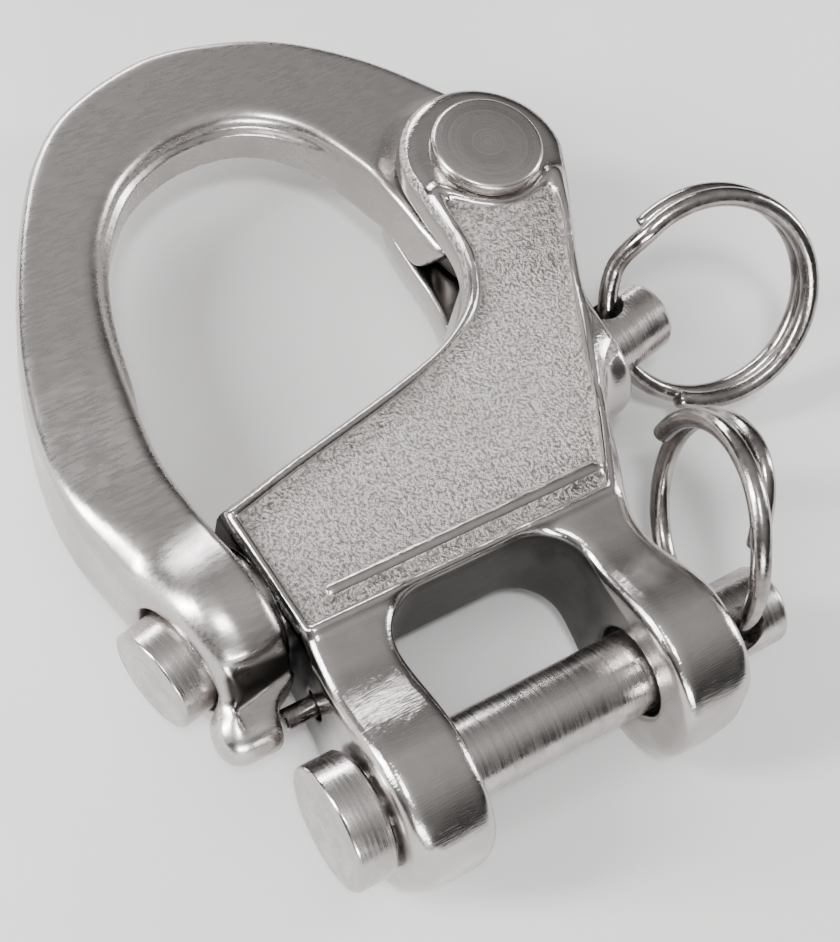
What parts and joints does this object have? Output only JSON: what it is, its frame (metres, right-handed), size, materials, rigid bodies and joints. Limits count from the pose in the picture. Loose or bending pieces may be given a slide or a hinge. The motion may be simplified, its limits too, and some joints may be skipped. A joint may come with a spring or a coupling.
{
  "type": "snap shackle",
  "caption": "Cast stainless snap shackle with a clevis pin jaw, a swinging bail, a spring plunger and split rings.",
  "frame": {"origin": "on the flat back face of the casting, midway between the two ears, above the jaw and level with the plunger's left end", "axes": "+X along the clevis pin towards the end that carries its split ring, +Y from the clevis pin towards the crown of the bail, +Z out of the front face, on the side of the hinge pin's head"},
  "size_m": [0.0624, 0.0689, 0.0196],
  "materials": {
    "cast_steel": "cast, tumbled and polished on the rims and ears, grainy in the sunken panel",
    "bail_steel": "satin, with fine scratches and polished outer edges",
    "turned_steel": "fine turned",
    "wire_steel": "drawn wire, bright"
  },
  "bodies": {
    "casting": {"body": "cast_steel", "pivot_pin": "turned_steel", "stop_pin": "turned_steel"},
    "bail": {"bail": "bail_steel"},
    "plunger": {"plunger": "turned_steel", "plunger_spring": "wire_steel"},
    "plunger_ring": {"plunger_ring": "wire_steel"},
    "clevis_pin": {"clevis_pin": "turned_steel"},
    "clevis_ring": {"clevis_ring": "wire_steel"}
  },
  "joints": [
    {"name": "bail_swing", "type": "hinge", "parent": "casting", "child": "bail", "pos_m": [0.0194, 0.0246, 0.005], "axis": [0, 0, -1], "range_deg": [0, 105]},
    {"name": "plunger_pull", "type": "slide", "parent": "casting", "child": "plunger", "axis": [0.9781, 0.2079, 0], "range_m": [0, 0.0088], "stiffness_N_per_m": 600, "springref_m": -0.008, "deforming": ["plunger_spring"]},
    {"name": "plunger_ring_swing", "type": "hinge", "parent": "plunger", "child": "plunger_ring", "pos_m": [0.0224, 0.00806, 0.005], "axis": [-0.1418, 0.6671, 0.7314], "range_deg": [-25, 65]},
    {"name": "clevis_pin_spin", "type": "hinge", "parent": "casting", "child": "clevis_pin", "pos_m": [0, -0.016, 0.005], "axis": [1, 0, 0], "continuous": true},
    {"name": "clevis_ring_swing", "type": "hinge", "parent": "clevis_pin", "child": "clevis_ring", "pos_m": [0.01595, -0.016, 0.005], "axis": [0, 0.5736, -0.8192], "range_deg": [0, 30]}
  ]
}
